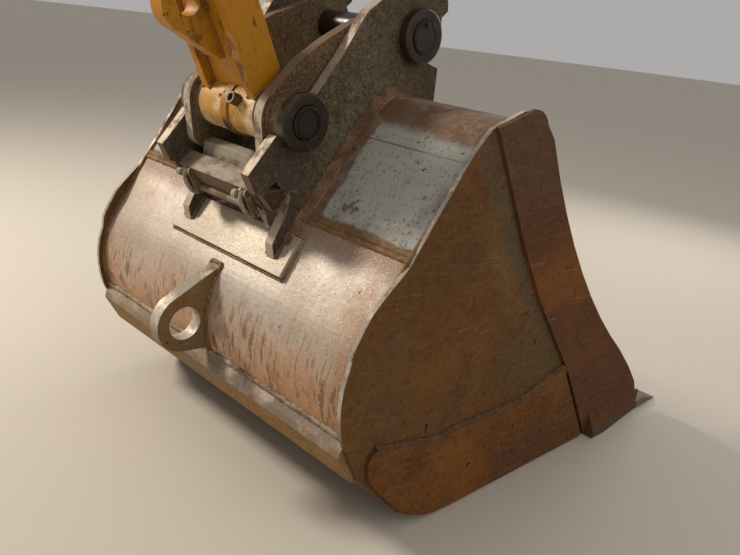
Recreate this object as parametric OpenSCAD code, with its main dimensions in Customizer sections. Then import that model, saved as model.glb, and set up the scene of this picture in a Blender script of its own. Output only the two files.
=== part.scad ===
// Bucket end of a crawler excavator: a wide digging bucket that stands on its floor,
// the coupler that sits between the bucket's ears, and the bucket link on the coupler.
// Millimetres. X runs across the bucket, Y from the cutting edge to the back, Z up.
// Profile points are [y, z] counted from the cutting edge's lower corner.

/* [Bucket] */
// Width over the end plates at the cutting edge
bucket_w = 1270; // [1150:10:1400]
// Angle that each end plate closes in towards the back
taper = 2; // [0:0.25:3]
// Thickness of the end plates
end_t = 12; // [9:1:18]
// Thickness of the rolled back, the floor and the upper panel
wrap_t = 20; // [14:1:24]
// Length of the flat floor
floor_len = 1200; // [1140:5:1230]
// Radius of the heel bend
heel_r = 300; // [260:5:330]
// Radius of the rolled back, outside
back_r = 268; // [255:1:280]
// How far the end plates stand out past the back
rim = 20; // [12:1:30]
// Thickness of the cutting edge
edge_t = 30; // [24:1:36]
// Depth of the cutting edge plate
edge_len = 290; // [250:5:320]
// Length of the cutting edge's bevel
bevel_len = 95; // [60:5:120]

/* [Side bars and wear pieces] */
// Thickness of the side bars
bar_t = 12; // [8:1:16]
// Thickness of the wear plates low on the ends
wear_t = 12; // [8:1:16]
// How far the corner shoes stand out past the end plates
shoe_out = 46; // [36:1:60]
// Height of the corner shoes
shoe_h = 84; // [70:2:120]

/* [Ears and coupler] */
// Distance between the outer faces of the two ears
ear_span = 410; // [390:2:430]
// Thickness of an ear
ear_t = 30; // [24:1:34]
// Gap between an ear and the coupler plate inside it
ear_gap = 5; // [5:1:12]
// Thickness of a coupler plate
coupler_t = 30; // [24:1:34]
// Radius of the link pin and the stick pin
pin_r = 40; // [34:1:42]
// Radius of the coupler's bosses in the ears
boss_r = 67; // [60:1:68]
// Running clearance of a pin or boss in its bore
fit = 0.05; // [0.02:0.01:0.09]
// Clearance of the link pin's boss in the open saddle
saddle_gap = 2; // [1:0.5:4]
// Radius of the pin collars
collar_r = 70; // [69:1:74]
// Thickness of the pin collars
collar_t = 30; // [20:1:36]
// Gap between an ear and the collar beside it
collar_gap = 5; // [5:1:8]
// Half width of the pad under the ears
pad_half = 250; // [235:5:270]
// Thickness of the pad under the ears
pad_t = 16; // [10:1:20]

/* [Link] */
// Distance between the link's two pin centres
link_len = 480; // [440:5:520]
// Angle that the link leans back
link_lean = 27; // [20:1:30]
// Radius of the link's tube and upper bosses
tube_r = 68; // [60:1:74]
// Half the length of the link's tube
tube_half = 116; // [108:1:122]
// Gap between the link's tube and a coupler boss
tube_gap = 5; // [5:1:8]
// Thickness of a link side plate
link_t = 26; // [20:1:30]
// Radius of the hole in the link's lifting eye
link_eye_r = 29; // [24:1:34]
// Radius of the hole in the bucket's lifting eye
bucket_eye_r = 46; // [38:1:52]
// Thickness of the bucket's lifting eye
bucket_eye_t = 40; // [30:1:50]

/* [Hidden] */
$fn = 72;

rust = "#7a4a2e";
worn = "#a08a7a";
grey_green = "#7f8478";
dark_steel = "#4a4441";
yellow = "#d9930f";

// Gap under a plate that is welded on another, and the cut's extra length past a face
seat = 0.3;
over = 1;

// Pin centres
link_pin_at = [1490, 988];
stick_pin_at = [1115, 1205];

// Faces across the part, counted from the middle
ear_out = ear_span / 2;
ear_in = ear_out - ear_t;
coupler_out = ear_in - ear_gap;
coupler_in = coupler_out - coupler_t;
collar_in = ear_out + collar_gap;
collar_out = collar_in + collar_t;
pin_half = collar_out + 3;
bar_out = bucket_w / 2 + bar_t;
link_out = tube_half - 6;
link_in = link_out - link_t;

function arc(c, r, a0, a1, n) =
    [for (i = [0:n]) c + r * [cos(a0 + (a1 - a0) * i / n), sin(a0 + (a1 - a0) * i / n)]];
function unit(v) = v / norm(v);
function left_of(v) = [-v[1], v[0]];
function polar(a) = [cos(a), sin(a)];

// Way in which the link boss leaves the saddle as the coupler tilts about the stick pin
tilt_way = atan2(link_pin_at[1] - stick_pin_at[1], link_pin_at[0] - stick_pin_at[0]) + 90;

// One vertex of a bent plate's inner face, at thickness t inside the outer line p
function inner_pt(p, i, t) =
    let (n = len(p))
    let (d0 = unit(p[max(i, 1)] - p[max(i, 1) - 1]))
    let (d1 = unit(p[min(i + 1, n - 1)] - p[min(i + 1, n - 1) - 1]))
    let (m = left_of(d0) + left_of(d1))
    p[i] + m * 2 * t / (m * m);

// Outer line of the bent plates: floor, heel bend, heel, rolled back, panel, top bend, lip
heel_c = [floor_len, heel_r];
heel_end = [1523, 200];
back_c = [1329, 433];
back_a0 = -22.8;
back_a1 = 32.5;
back_end = back_c + back_r * polar(back_a1);
seam = back_end + 190 * polar(back_a1 + 90);
bend_at = [1299, 942];
top_r = 600;
top_a0 = 36.2;
top_a1 = 47;
top_c = bend_at - top_r * polar(top_a0);
lip_r = 90;
lip_c = top_c + (top_r - lip_r) * polar(top_a1);
lip_front = [1115, lip_c[1] + lip_r];
floor_line = concat([[edge_len, 0]], arc(heel_c, heel_r, -90, -45, 5), [heel_end]);
back_line = concat(arc(back_c, back_r, back_a0, back_a1, 16), [seam]);
top_line = concat(arc(top_c, top_r, top_a0, top_a1, 3), arc(lip_c, lip_r, top_a1 + 8, 90, 5),
    [lip_front]);
wrap_line = concat(floor_line, back_line, top_line);
floor_last = len(floor_line) - 1;
back_last = floor_last + len(back_line);
wrap_last = len(wrap_line) - 1;

// Front edge of the side bars: hollow curve, then a steeper run down to the cutting edge
foot_y = 152;
hollow = arc([-969, 2119], 2271, -29.3, -53.5, 8);
bar_front = concat(arc([1107, 1015], 65, 92, 155, 4), hollow,
    [[282, 206], [204, 127], [foot_y + 24, 77], [foot_y + 6, 27], [foot_y, 0]]);
bar_heel = [508, 27];
bar_heel_y = bar_heel[0] - 18;
bar_back = [bar_heel, [685, 284], [912, 547], [1051, 737], [1239, 1039]];

// Outline of the end plates: the back's line with the rim outside it, which swells above
// the rolled back, dies out at the seam and grows again along the panel
plate_setback = [35, 0];
function on_back(along, out) = back_end + along * polar(back_a1 + 90) + out * polar(back_a1);
panel_way = unit(bend_at - seam);
function on_panel(along, out) = seam + along * panel_way - out * left_of(panel_way);
end_line = concat([[edge_len + over, 0]], arc(heel_c, heel_r, -90, -45, 5), [heel_end + [12, 10]],
    arc(back_c, back_r + rim, back_a0 + 1, 18, 12), [on_back(-38, rim + 7), on_back(8, rim + 11),
    on_back(48, rim + 13), on_back(85, rim + 7), on_back(118, rim - 1), on_back(152, rim / 2),
    on_back(186, 2), on_panel(57, rim / 3), on_panel(130, rim * 0.6)],
    arc(top_c, top_r + rim, top_a0, top_a1 - 1, 3), [[1134, 1074], [1100, 1066]],
    [for (p = hollow) p + plate_setback],
    [[foot_y + 34, edge_t + seat], [edge_len + over, edge_t + seat]]);

// Total depth from the cutting edge to the back of the link's upper bosses
link_top_y = link_pin_at[0] + link_len * sin(link_lean);
y_mid = (link_top_y + tube_r) / 2;

module placed() {
    translate([0, -y_mid, 0]) children();
}

// Extrudes a [y, z] outline across the part from x0 to x1
module slab(x0, x1) {
    translate([x0, 0, 0]) rotate([90, 0, 90]) linear_extrude(x1 - x0) children();
}

module rod_x(at, r, x0, x1) {
    translate([x0, at[0], at[1]]) rotate([0, 90, 0]) cylinder(h = x1 - x0, r = r);
}

// The same two on one side of the middle, from distance a to distance b
module side_slab(side, a, b) {
    x0 = side > 0 ? a : -b;
    slab(x0, x0 + b - a) children();
}

module side_rod(side, at, r, a, b) {
    x0 = side > 0 ? a : -b;
    rod_x(at, r, x0, x0 + b - a);
}

// Puts what is drawn at an end plate's outer face, with +x into the bucket, at one end
module at_end(side) {
    translate([side * bucket_w / 2, 0, 0]) rotate([0, 0, side * taper]) {
        if (side > 0) {
            mirror([1, 0, 0]) children();
        } else {
            children();
        }
    }
}

// Block that ends at a depth inside the end plates' outer faces, which close in to the back
module between_ends(inset = end_t) {
    near = bucket_w / 2 - inset / cos(taper);
    far = near - 2000 * tan(taper);
    translate([0, 0, -50]) linear_extrude(1300)
        polygon([[-near, 0], [near, 0], [far, 2000], [-far, 2000]]);
}

// Part of the bent plates between two vertices of their outer line
module wrap_part(first, last) {
    intersection() {
        slab(-bucket_w / 2, bucket_w / 2) polygon(concat([for (i = [first:last]) wrap_line[i]],
            [for (i = [last:-1:first]) inner_pt(wrap_line, i, wrap_t)]));
        between_ends();
    }
}

// Cutting edge: as wide as the side bars in front of their feet, narrower behind them
module cutting_edge() {
    color(rust) placed() intersection() {
        slab(-bar_out, bar_out)
            polygon([[0, 0], [edge_len, 0], [edge_len, edge_t], [bevel_len, edge_t], [0, 4]]);
        union() {
            translate([-bar_out, 0, 0]) cube([2 * bar_out, foot_y - seat, edge_t]);
            between_ends(seat);
        }
    }
}

module floor_plate() {
    color(rust) placed() wrap_part(0, floor_last);
}

module back_plate() {
    color(worn) placed() wrap_part(floor_last, back_last);
}

module top_panel() {
    color(grey_green) placed() wrap_part(back_last, wrap_last);
}

// Plate that closes the space behind the lip into a stiff tube
module torsion_tube() {
    panel_a = inner_pt(wrap_line, back_last, wrap_t + seat);
    panel_b = inner_pt(wrap_line, back_last + 1, wrap_t + seat);
    tube_t = 14;
    low = panel_a + 0.62 * (panel_b - panel_a);
    low_in = low + (tube_t + 4) * unit(panel_b - panel_a);
    lip_low = lip_front - [0, wrap_t + seat];
    corner = [lip_front[0] + 50, low[1] + 15];
    color(rust) placed() intersection() {
        slab(-bucket_w / 2, bucket_w / 2) polygon([low, corner, lip_low + [tube_t, 0],
            lip_low + [2 * tube_t, 0], corner + [tube_t, tube_t], low_in]);
        between_ends();
    }
}

// Bar along the heel, outside the back, with its shelf and its lower lip
module heel_bar() {
    a = heel_end;
    b = wrap_line[floor_last + 1];
    color(rust) placed() intersection() {
        slab(-bucket_w / 2, bucket_w / 2)
            polygon([a, a + [22, 4], b + [20, -42], b + [16, -24], b]);
        between_ends();
    }
}

module end_plate(side) {
    color(rust) placed() at_end(side) slab(0, end_t) polygon(end_line);
}

module side_bar(side) {
    color(rust) placed() at_end(side) slab(-bar_t, 0)
        polygon(concat(bar_front, [[bar_heel_y, 0]], bar_back));
}

// Wear shoe on the outside of a side bar's foot: a wedge that is widest at its rear end
module corner_shoe(side) {
    color(rust) placed() at_end(side) intersection() {
        rotate([90, 0, 0]) mirror([0, 0, 1]) linear_extrude(bar_heel_y)
            polygon([[-bar_t, 0], [-shoe_out + 4, 0], [-shoe_out, 18], [-bar_t, shoe_h]]);
        linear_extrude(shoe_h) polygon([[-bar_t, foot_y + 8], [-bar_t - 4, foot_y + 8],
            [-shoe_out, bar_heel_y - 40], [-shoe_out, bar_heel_y], [-bar_t, bar_heel_y]]);
    }
}

module wear_plate(side) {
    color(rust) placed() at_end(side) slab(-wear_t, 0) polygon(concat(
        [bar_heel + [12, -22], [floor_len, 5]],
        arc(heel_c, heel_r - 6, -90, -45, 5), [[1512, 208], [1520, 255]],
        arc([1488, 256], 30, 40, 130, 4),
        [[1420, 270], [1275, 240], [1198, 250], [920, 245], [720, 306], bar_back[1] + [14, -4],
            bar_heel + [14, -4]]));
}

// Doubler plate on the back, under the ears; foot is its lower face's height over the back
module pad_body(foot = seat) {
    out = polar(back_a1);
    low = back_end + 37 * left_of(out);
    high = seam - 44 * left_of(out);
    top = (seat + pad_t) * out;
    slab(-pad_half, pad_half) polygon([low + foot * out, low + top, high + top, high + foot * out]);
}

module hinge_pad() {
    color(rust) placed() pad_body();
}

// Lifting eye on the curved back, a hump with a round nose
module bucket_eye() {
    eye_at = [1662, 430];
    nose_r = 80;
    color(rust) placed() difference() {
        slab(-bucket_eye_t / 2, bucket_eye_t / 2) hull() {
            translate(eye_at) circle(nose_r);
            translate([1540, 560]) circle(22);
            translate([1566, 362]) circle(20);
        }
        slab(-bucket_eye_t, bucket_eye_t) polygon(wrap_line);
        rod_x(eye_at, bucket_eye_r, -bucket_eye_t, bucket_eye_t);
    }
}

// Square bar between the ears' tails, turned so that one corner points back
bar_at = [1581, 812];
bar_turn = 139;
bar_w = 52;
bar_d = 56;
module cross_bar_outline() {
    polygon([bar_at, bar_at + bar_w * polar(bar_turn),
        bar_at + bar_w * polar(bar_turn) + bar_d * polar(bar_turn + 90),
        bar_at + bar_d * polar(bar_turn + 90)]);
}

// Open notch between an ear's tail and its foot, which shows the bar's end
module notch_outline() {
    polygon([[1600, 816], [1520, 823], [1501, 817], [1495, 802], [1504, 760], [1528, 712],
        [1640, 700], [1660, 816]]);
}

// Outline of an ear before the bucket, the bosses and the notch are cut out of it
module ear_outline() {
    polygon([[1554, 950], [1626, 863], [1600, 816], [1528, 712], [1540, 684], [1530, 640],
        [1420, 640], [1150, 980], [1110, 1030], [1004, 1032], [1007, 1126], [1050, 1138],
        [1020, 1165], [1012, 1216], [1018, 1258], [996, 1276], [1000, 1300], [1046, 1340],
        [1130, 1356], [1205, 1330], [1250, 1283], [1296, 1250], [1372, 1136], [1436, 1052],
        [1500, 1015]]);
}

// Ear with a closed bore for the stick boss and a saddle, open to the rear, for the link boss
module ear(side) {
    saddle_r = boss_r + saddle_gap;
    way_half = saddle_r + over / 2;
    color(grey_green) placed() difference() {
        side_slab(side, ear_in, ear_out) difference() {
            ear_outline();
            notch_outline();
            cross_bar_outline();
        }
        slab(-ear_out - over, ear_out + over) polygon(wrap_line);
        pad_body(-over);
        side_rod(side, stick_pin_at, boss_r + fit, ear_in - over, ear_out + over);
        side_rod(side, link_pin_at, saddle_r, ear_in - over, ear_out + over);
        side_slab(side, ear_in - over, ear_out + over) translate(link_pin_at)
            rotate(tilt_way - 90) translate([-way_half, 0]) square([2 * way_half, 200]);
    }
}

module ear_bridge() {
    color(dark_steel) placed() {
        slab(-ear_in + seat, ear_in - seat) cross_bar_outline();
        slab(-ear_out, ear_out) intersection() {
            cross_bar_outline();
            notch_outline();
        }
    }
}

// Two cheeks on the bar's rear face that hold the lock rod under the bar
lug_x = 126;
cheek_t = 8;
cheek_gap = 14;
rod_r = 11;
rod_at = bar_at + (bar_d + rod_r) * polar(bar_turn + 90) - 6 * polar(bar_turn);
module lock_lug(side) {
    cheek_r = rod_r + 9;
    color(dark_steel) placed() difference() {
        for (x = [-cheek_gap / 2 - cheek_t, cheek_gap / 2])
            side_slab(side, lug_x + x, lug_x + x + cheek_t) hull() {
                translate(rod_at) circle(cheek_r);
                translate(bar_at + 16 * polar(bar_turn + 90)) circle(14);
            }
        slab(-ear_in, ear_in) translate(bar_at) rotate(bar_turn) translate([0, -bar_w])
            square([bar_w + cheek_r, bar_w + bar_d]);
        rod_x(rod_at, rod_r, -ear_in, ear_in);
    }
}

module lock_rod() {
    color(dark_steel) placed() rod_x(rod_at, rod_r, -lug_x - 26, lug_x + 26);
}

// Outline of a coupler plate, round the link pin and on past the stick pin
module coupler_outline() {
    hull() {
        translate(link_pin_at) circle(boss_r + 14);
        translate(stick_pin_at) circle(boss_r + 18);
        translate([1450, 1108]) circle(24);
        translate([1385, 1156]) circle(20);
        translate([1310, 1202]) circle(16);
        translate([1508, 906]) circle(50);
    }
}

// Coupler plate with its two bosses, which reach out to the collars and in to the link. The
// link pin has its collar on the left and ends flush with the boss on the right.
module coupler_side(side) {
    boss_in = tube_half + tube_gap;
    boss_out = side < 0 ? collar_in : ear_out;
    color(dark_steel) placed() difference() {
        union() {
            side_slab(side, coupler_in, coupler_out) coupler_outline();
            side_rod(side, link_pin_at, boss_r, boss_in, boss_out);
            side_rod(side, stick_pin_at, boss_r, coupler_in, collar_in);
        }
        for (at = [link_pin_at, stick_pin_at])
            side_rod(side, at, pin_r, boss_in - over, collar_in + over);
    }
}

// Cross plate between the coupler plates, which stands clear of the bar's front face
module coupler_cross() {
    bar_top = bar_at + bar_w * polar(bar_turn);
    foot = bar_top + 20 * polar(bar_turn + 90) + tube_gap * polar(bar_turn);
    color(dark_steel) placed() slab(-coupler_in, coupler_in) polygon([foot, foot + [-4, 42],
        foot + [-28, 52], foot + 38 * polar(bar_turn + 90)]);
}

module pin(at, right_end) {
    color(dark_steel) placed() rod_x(at, pin_r, -pin_half, right_end);
}

module collar(at, side) {
    color(dark_steel) placed() difference() {
        side_rod(side, at, collar_r, collar_in, collar_out);
        side_rod(side, at, pin_r, collar_in - over, collar_out + over);
    }
}

// Puts what is drawn on the link, with Z along it from the link pin and Y to its back
module on_link() {
    placed() translate([0, link_pin_at[0], link_pin_at[1]]) rotate([-link_lean, 0, 0]) children();
}

link_back = 38;
link_front = -60;
link_top = [0, link_len];

module link_tube() {
    color(yellow) on_link() difference() {
        rod_x([0, 0], tube_r, -tube_half, tube_half);
        rod_x([0, 0], pin_r + fit, -tube_half - over, tube_half + over);
    }
}

// Raised ring round the middle of the tube
ring_half = 13;
ring_t = 5;
module link_ring() {
    color(yellow) on_link() difference() {
        rod_x([0, 0], tube_r + ring_t, -ring_half, ring_half);
        rod_x([0, 0], tube_r, -ring_half - over, ring_half + over);
    }
}

module link_side(side) {
    color(yellow) on_link() difference() {
        side_slab(side, link_in, link_out) polygon([[link_front, 0], [link_back, 0],
            [link_back, link_len], [link_front, link_len]]);
        for (at = [[0, 0], link_top]) side_rod(side, at, tube_r, link_in - over, link_out + over);
    }
}

// Plate between the side plates, with a step where the box begins
web_low = 14;
web_high = 28;
module link_web() {
    color(yellow) on_link() difference() {
        slab(-link_in, link_in) polygon([[-12, 40], [web_low, 40], [web_low, 138],
            [web_high, 146], [web_high, link_len - 110], [-12, link_len - 110]]);
        rod_x([0, 0], tube_r, -link_in - over, link_in + over);
        rod_x([0, 0], tube_r + ring_t, -ring_half, ring_half);
    }
}

// Lifting eye on the back of the link
link_eye_half = 25;
link_eye_at = [link_back + link_eye_r + 1, 298];
module link_eye() {
    color(yellow) on_link() difference() {
        slab(-link_eye_half, link_eye_half) hull() {
            translate(link_eye_at) circle(66);
            translate([web_high + 6, 154]) circle(6);
            translate([web_high + 6, link_len - 126]) circle(6);
        }
        slab(-link_eye_half - over, link_eye_half + over)
            polygon([[-80, 0], [web_high, 0], [web_high, link_len], [-80, link_len]]);
        rod_x(link_eye_at, link_eye_r, -link_eye_half - over, link_eye_half + over);
    }
}

// Upper boss of the link, on its side plate
module link_boss(side) {
    boss_in = link_in - 14;
    color(yellow) on_link() difference() {
        side_rod(side, link_top, tube_r, boss_in, tube_half);
        side_rod(side, link_top, pin_r + fit, boss_in - over, tube_half + over);
    }
}

// Short pipe that guards the tube's grease fitting
stub_x = -48;
stub_turn = -43;
stub_r = 15;
module grease_stub() {
    color(yellow) on_link() difference() {
        translate([stub_x, 0, 0]) rotate([stub_turn, 0, 0]) difference() {
            cylinder(h = tube_r + 24, r = stub_r);
            cylinder(h = tube_r + 60, r = stub_r - 5);
        }
        rod_x([0, 0], tube_r, -tube_half, tube_half);
    }
}

module end_plate_left() { end_plate(-1); }
module end_plate_right() { end_plate(1); }
module side_bar_left() { side_bar(-1); }
module side_bar_right() { side_bar(1); }
module corner_shoe_left() { corner_shoe(-1); }
module corner_shoe_right() { corner_shoe(1); }
module wear_plate_left() { wear_plate(-1); }
module wear_plate_right() { wear_plate(1); }
module ear_left() { ear(-1); }
module ear_right() { ear(1); }
module lock_lug_left() { lock_lug(-1); }
module lock_lug_right() { lock_lug(1); }
module coupler_side_left() { coupler_side(-1); }
module coupler_side_right() { coupler_side(1); }
module link_pin() { pin(link_pin_at, ear_out); }
module stick_pin() { pin(stick_pin_at, pin_half); }
module link_collar_left() { collar(link_pin_at, -1); }
module stick_collar_left() { collar(stick_pin_at, -1); }
module stick_collar_right() { collar(stick_pin_at, 1); }
module link_side_left() { link_side(-1); }
module link_side_right() { link_side(1); }
module link_boss_left() { link_boss(-1); }
module link_boss_right() { link_boss(1); }

cutting_edge();
floor_plate();
back_plate();
top_panel();
torsion_tube();
heel_bar();
end_plate_left();
end_plate_right();
side_bar_left();
side_bar_right();
corner_shoe_left();
corner_shoe_right();
wear_plate_left();
wear_plate_right();
hinge_pad();
bucket_eye();
ear_left();
ear_right();
ear_bridge();
lock_lug_left();
lock_lug_right();
lock_rod();
coupler_side_left();
coupler_side_right();
coupler_cross();
link_pin();
stick_pin();
link_collar_left();
stick_collar_left();
stick_collar_right();
link_tube();
link_ring();
link_side_left();
link_side_right();
link_web();
link_eye();
link_boss_left();
link_boss_right();
grease_stub();
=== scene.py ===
# Wide digging bucket with its ears, the pin coupler between them and the bucket link.
# Metres, in the model's frame: +X to the right end plate, -Y out of the mouth, +Z up. Points
# of welds and bolts are millimetres, counted as in the part's source, and tip() turns them.
import math
import bpy
from mathutils import Matrix, Vector


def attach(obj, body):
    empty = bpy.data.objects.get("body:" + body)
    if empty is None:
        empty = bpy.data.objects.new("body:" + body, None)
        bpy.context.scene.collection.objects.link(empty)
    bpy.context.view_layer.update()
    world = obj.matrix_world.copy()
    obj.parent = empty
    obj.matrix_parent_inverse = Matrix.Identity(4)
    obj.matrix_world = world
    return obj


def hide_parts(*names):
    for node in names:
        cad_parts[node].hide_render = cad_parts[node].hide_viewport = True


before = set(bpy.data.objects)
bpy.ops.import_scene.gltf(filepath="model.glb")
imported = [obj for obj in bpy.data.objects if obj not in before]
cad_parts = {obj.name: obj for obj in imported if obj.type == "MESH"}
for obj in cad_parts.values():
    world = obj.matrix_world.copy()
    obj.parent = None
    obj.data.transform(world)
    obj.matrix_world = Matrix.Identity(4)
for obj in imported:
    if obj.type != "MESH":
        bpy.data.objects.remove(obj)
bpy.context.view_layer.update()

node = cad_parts


# The stand: a plain pale floor, one lamp behind the far end, two weak ones and a pale sky.
# The camera stands behind the near end plate and is turned a little in its mount.
eye = Vector((-1.5733, 1.7493, 1.2390))
right = Vector((-0.6975, -0.7076, 0.1132)).normalized()
back = Vector((-0.6452, 0.6889, 0.3303)).normalized()
up = back.cross(right).normalized()
right = up.cross(back).normalized()
bpy.ops.object.camera_add(location=eye)
camera = bpy.context.object
camera.matrix_world = Matrix((
    (right.x, up.x, back.x, eye.x), (right.y, up.y, back.y, eye.y),
    (right.z, up.z, back.z, eye.z), (0, 0, 0, 1)))
camera.data.lens = 36
camera.data.sensor_width = 36
camera.data.clip_start = 0.05
bpy.context.scene.camera = camera


def lamp(name, at, aim, size, watts, tint):
    bpy.ops.object.light_add(type="AREA", location=at)
    light = bpy.context.object
    light.name = name
    light.rotation_euler = (Vector(aim) - Vector(at)).to_track_quat("-Z", "Y").to_euler()
    light.data.shape = "DISK"
    light.data.size = size
    light.data.energy = watts
    light.data.color = tint


lamp("key_lamp", at=(3.4, 2.7, 3.5), aim=(0.0, 0.2, 0.5), size=0.9, watts=225, tint=(1.0, 0.93, 0.82))
lamp("fill_lamp", at=(-3.4, 0.8, 2.6), aim=(0.0, 0.1, 0.5), size=3.0, watts=20, tint=(1.0, 0.97, 0.93))
lamp("mouth_lamp", at=(0.3, -3.4, 2.2), aim=(0.0, -0.2, 0.4), size=2.6, watts=40, tint=(1.0, 0.97, 0.94))

sky = bpy.data.worlds.new("pale_sky")
bpy.context.scene.world = sky
sky.use_nodes = True
sky.node_tree.nodes["Background"].inputs["Color"].default_value = (0.90, 0.88, 0.86, 1)
sky.node_tree.nodes["Background"].inputs["Strength"].default_value = 0.46

bpy.ops.mesh.primitive_circle_add(vertices=96, radius=45, fill_type="NGON", location=(0, 0, -0.001))
floor = bpy.context.object
floor.name = "floor"
floor_paint = bpy.data.materials.new("pale_floor")
floor_paint.use_nodes = True
floor_skin = floor_paint.node_tree.nodes["Principled BSDF"]
floor_skin.inputs["Base Color"].default_value = (0.60, 0.54, 0.46, 1)
floor_skin.inputs["Roughness"].default_value = 0.9
floor.data.materials.append(floor_paint)

bpy.context.scene.view_settings.view_transform = "Standard"


# The rolled back: thick plate that the ground has scoured bright where it curves, with
# orange rust low on it and brown runs down it. Each finish is laid on in coats.
class Finish:
    """One surface, built in coats over a base: each coat has a mask, a colour and a sheen."""

    soft_edge = 0.003

    def __init__(self, name, base, rough=0.6, metal=0.0, gloss=0.22):
        self.material = bpy.data.materials.new(name)
        self.material.use_nodes = True
        self.tree = self.material.node_tree
        self.skin = self.tree.nodes["Principled BSDF"]
        self.skin.inputs["Specular IOR Level"].default_value = gloss
        self.place = self.add("ShaderNodeTexCoord").outputs["Object"]
        self.colour = self.opaque(base)
        self.rough = rough
        self.metal = metal
        self.relief = None

    def add(self, kind, **inputs):
        made = self.tree.nodes.new(kind)
        for key, value in inputs.items():
            self.put(made.inputs[key], value)
        return made

    def put(self, socket, value):
        if isinstance(value, bpy.types.NodeSocket):
            self.tree.links.new(value, socket)
        else:
            socket.default_value = value

    def opaque(self, rgb):
        return (rgb[0], rgb[1], rgb[2], 1)

    def work_out(self, how, a, b):
        """Sum of one kind, such as ADD, of two values or sockets."""
        made = self.tree.nodes.new("ShaderNodeMath")
        made.operation = how
        self.put(made.inputs[0], a)
        self.put(made.inputs[1], b)
        return made.outputs[0]

    def times(self, *masks):
        """Mask where all of the masks are."""
        product = masks[0]
        for mask in masks[1:]:
            product = self.work_out("MULTIPLY", product, mask)
        return product

    def either(self, *masks):
        """Mask where any of the masks is."""
        largest = masks[0]
        for mask in masks[1:]:
            largest = self.work_out("MAXIMUM", largest, mask)
        return largest

    def vectors(self, how, a, b):
        """Sum of one kind, such as SUBTRACT, of two points or ways."""
        made = self.tree.nodes.new("ShaderNodeVectorMath")
        made.operation = how
        self.put(made.inputs[0], a)
        self.put(made.inputs[1], b)
        return made.outputs["Value" if how == "DOT_PRODUCT" else "Vector"]

    def flat_normal(self):
        return self.add("ShaderNodeNewGeometry").outputs["True Normal"]

    def grain(self, scale, detail=5, rough=0.6, stretch=(1, 1, 1), turn=(0, 0, 0), at=(0, 0, 0)):
        """Noise from 0 to 1, about scale spots to the metre; a small stretch draws the spots out
        along that axis, turn tilts them in degrees, and at moves them."""
        laid = self.add("ShaderNodeMapping", Vector=self.place, Scale=stretch, Location=at,
                        Rotation=[math.radians(a) for a in turn])
        made = self.add("ShaderNodeTexNoise", Vector=laid.outputs[0], Scale=scale, Detail=detail,
                        Roughness=rough)
        return made.outputs["Fac"]

    def cut(self, value, low, high):
        """0 below low and 1 above high, smooth between; the other way round if low > high."""
        made = self.add("ShaderNodeMapRange", Value=value)
        made.interpolation_type = "SMOOTHSTEP"
        if low > high:
            low, high = high, low
            made.inputs["To Min"].default_value = 1
            made.inputs["To Max"].default_value = 0
        made.inputs["From Min"].default_value = low
        made.inputs["From Max"].default_value = high
        return made.outputs[0]

    def along(self, way, low, high, origin=(0, 0, 0), rag=None):
        """Mask by the distance from origin along way, ragged where rag is given."""
        value = self.vectors("DOT_PRODUCT", self.vectors("SUBTRACT", self.place, origin), way)
        if rag is not None:
            value = self.work_out("ADD", value, rag)
        return self.cut(value, low, high)

    def ragged(self, scale, depth, at=(0, 0, 0)):
        """Noise about zero; nearly all of it lies within depth metres to each side."""
        centred = self.work_out("SUBTRACT", self.grain(scale, 7, 0.7, at=at), 0.5)
        return self.work_out("MULTIPLY", centred, depth * 4)

    def edges(self, wide):
        """Mask of the plate's edges, out to wide from them."""
        rounded = self.add("ShaderNodeBevel", Radius=wide)
        rounded.samples = 4
        turned_by = self.vectors("DOT_PRODUCT", rounded.outputs[0], self.flat_normal())
        return self.cut(turned_by, 0.97, 0.7)

    def facing(self, way, low, high):
        """Mask of the faces that look along way."""
        return self.cut(self.vectors("DOT_PRODUCT", self.flat_normal(), way), low, high)

    def rims(self):
        """Mask of a cross plate's thin faces, the ones that don't look to left or right."""
        return self.times(self.facing(to_right, 0.75, 0.6), self.facing(to_left, 0.75, 0.6))

    def coat(self, mask, rgb, rough=None, metal=None, strength=None):
        """Lay rgb on where the mask is 1, and only part of it where a strength is given."""
        if strength is not None:
            mask = self.times(mask, strength)
        made = self.tree.nodes.new("ShaderNodeMix")
        made.data_type = "RGBA"
        self.put(made.inputs["Factor"], mask)
        self.put(made.inputs[6], self.colour)
        made.inputs[7].default_value = self.opaque(rgb)
        self.colour = made.outputs[2]
        for name, value in (("rough", rough), ("metal", metal)):
            if value is not None:
                mixed = self.tree.nodes.new("ShaderNodeMix")
                self.put(mixed.inputs[0], mask)
                self.put(mixed.inputs[2], getattr(self, name))
                mixed.inputs[3].default_value = value
                setattr(self, name, mixed.outputs[0])

    def raise_by(self, value, height):
        """Relief: value from 0 to 1 stands height metres high."""
        step = self.work_out("MULTIPLY", value, height)
        self.relief = step if self.relief is None else self.work_out("ADD", self.relief, step)

    def done(self, *names):
        """Finish the material, put it on the named CAD nodes and return it."""
        self.put(self.skin.inputs["Base Color"], self.colour)
        self.put(self.skin.inputs["Roughness"], self.rough)
        self.put(self.skin.inputs["Metallic"], self.metal)
        rounded = self.add("ShaderNodeBevel", Radius=self.soft_edge)
        rounded.samples = 4
        bump = self.add("ShaderNodeBump", Height=self.relief, Normal=rounded.outputs[0])
        bump.inputs["Strength"].default_value = 1
        bump.inputs["Distance"].default_value = 1
        self.put(self.skin.inputs["Normal"], bump.outputs[0])
        for name in names:
            dress(node[name], self.material)
        return self.material


def dress(thing, material):
    thing.data.materials.clear()
    thing.data.materials.append(material)


to_right, to_left = (1, 0, 0), (-1, 0, 0)
to_back, to_mouth = (0, 1, 0), (0, -1, 0)
to_top = (0, 0, 1)
seam = (0, 0.565, 0.737)
up_panel = (0, -0.601, 0.799)


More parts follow.
